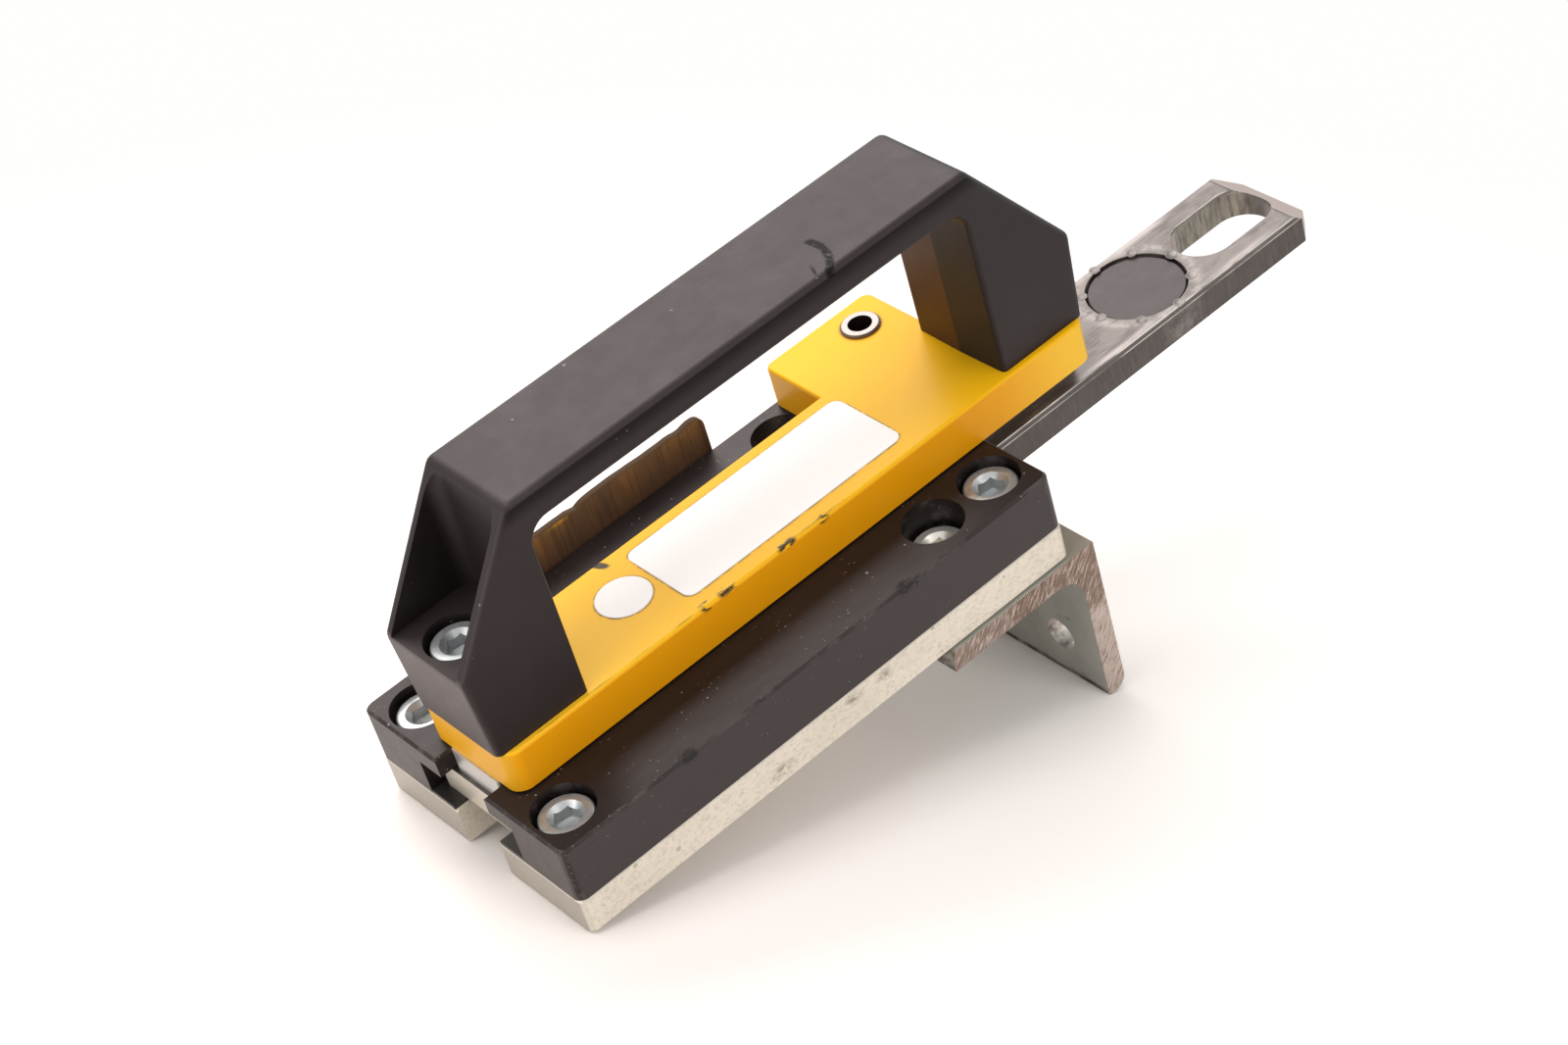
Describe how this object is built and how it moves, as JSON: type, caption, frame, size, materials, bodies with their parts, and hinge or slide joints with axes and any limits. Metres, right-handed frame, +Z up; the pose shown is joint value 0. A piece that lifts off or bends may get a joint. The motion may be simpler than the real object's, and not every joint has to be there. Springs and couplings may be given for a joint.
{
  "type": "sliding safety door bolt with coded actuator",
  "caption": "Hand-operated sliding bolt for a machine guard: a flat tongue with a set-in coded actuator disc, moved in plastic rails by a yellow carriage with a bow handle.",
  "frame": {"origin": "centre of the base plate's underside", "axes": "+X along the bolt to the tongue's tip, +Y to the rail that carries the guard strip, +Z up from the base"},
  "size_m": [0.2545, 0.0806, 0.1365],
  "materials": {
    "base_plate": "zinc-plated, satin, worn edges",
    "rail_plastic": "machined black plastic, matt",
    "strip_plastic": "smooth black plastic",
    "guard_strip": "dull dark plastic, worn top edge",
    "zinc_fasteners": "bright zinc plate",
    "angle_steel": "sawn and brushed rolled steel",
    "tongue_steel": "brushed flat bar, bright chamfers",
    "disc_plastic": "matt dark grey moulding",
    "pin_steel": "ground pin",
    "spacer_metal": "milled, satin",
    "yellow_paint": "safety yellow powder coat, scuffed edges",
    "eye_steel": "pressed steel bush",
    "handle_plastic": "fine-textured dark grey moulding"
  },
  "bodies": {
    "base": {"base_plate": "base_plate", "front_rail": "rail_plastic", "rear_rail": "rail_plastic", "front_slide_strip": "strip_plastic", "rear_slide_strip": "strip_plastic", "guard_strip": "guard_strip", "guard_strip_screws": "zinc_fasteners", "angle_bracket": "angle_steel", "front_rail_screws": "zinc_fasteners", "rear_rail_screws": "zinc_fasteners", "bracket_screws": "zinc_fasteners"},
    "sled": {"tongue_bar": "tongue_steel", "actuator_disc": "disc_plastic", "stop_pin": "pin_steel", "spacer_block": "spacer_metal", "carriage_plate": "yellow_paint", "lock_eye": "eye_steel", "bow_handle": "handle_plastic", "left_handle_screw": "zinc_fasteners", "right_handle_screw": "zinc_fasteners", "handle_lock_washers": "zinc_fasteners"}
  },
  "joints": [
    {"name": "bolt_slide", "type": "slide", "parent": "base", "child": "sled", "axis": [1, 0, 0], "range_m": [-0.065, 0]}
  ]
}
